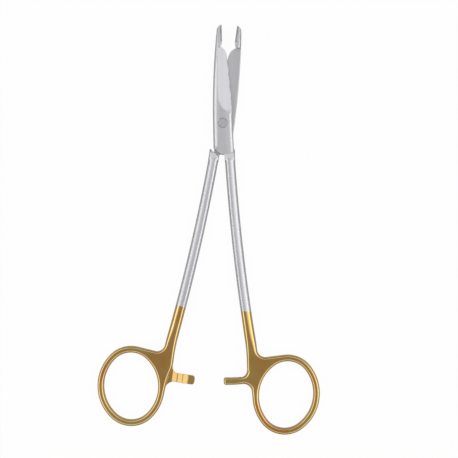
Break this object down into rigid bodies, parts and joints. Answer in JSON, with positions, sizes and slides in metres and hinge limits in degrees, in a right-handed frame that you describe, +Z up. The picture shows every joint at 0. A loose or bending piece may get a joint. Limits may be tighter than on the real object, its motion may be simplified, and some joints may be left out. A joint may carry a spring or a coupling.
{
  "type": "surgical needle holder",
  "caption": "Ring-handled steel needle holder with scissor blades behind its carbide jaw tips, part open, with gilt handles.",
  "frame": {"origin": "on the pivot's axis at the joint's underside, which is the surface the instrument lies on", "axes": "+Z up out of the lying instrument, along the pivot; +Y from the joint to the jaws; +X to the right seen from above"},
  "size_m": [0.0899, 0.1639, 0.0052],
  "materials": {
    "steel": "satin, fine lengthwise grinding, gilt below the shanks",
    "carbide": "matt, cross-cut",
    "screw_steel": "ground flush"
  },
  "bodies": {
    "back_half": {"back_half": "steel", "back_jaw_insert": "carbide", "pivot_screw": "screw_steel"},
    "front_half": {"front_half": "steel", "front_jaw_insert": "carbide"}
  },
  "joints": [
    {"name": "pivot", "type": "hinge", "parent": "back_half", "child": "front_half", "pos_m": [0, 0, 0], "axis": [0, 0, 1], "range_deg": [-9, 51]}
  ]
}
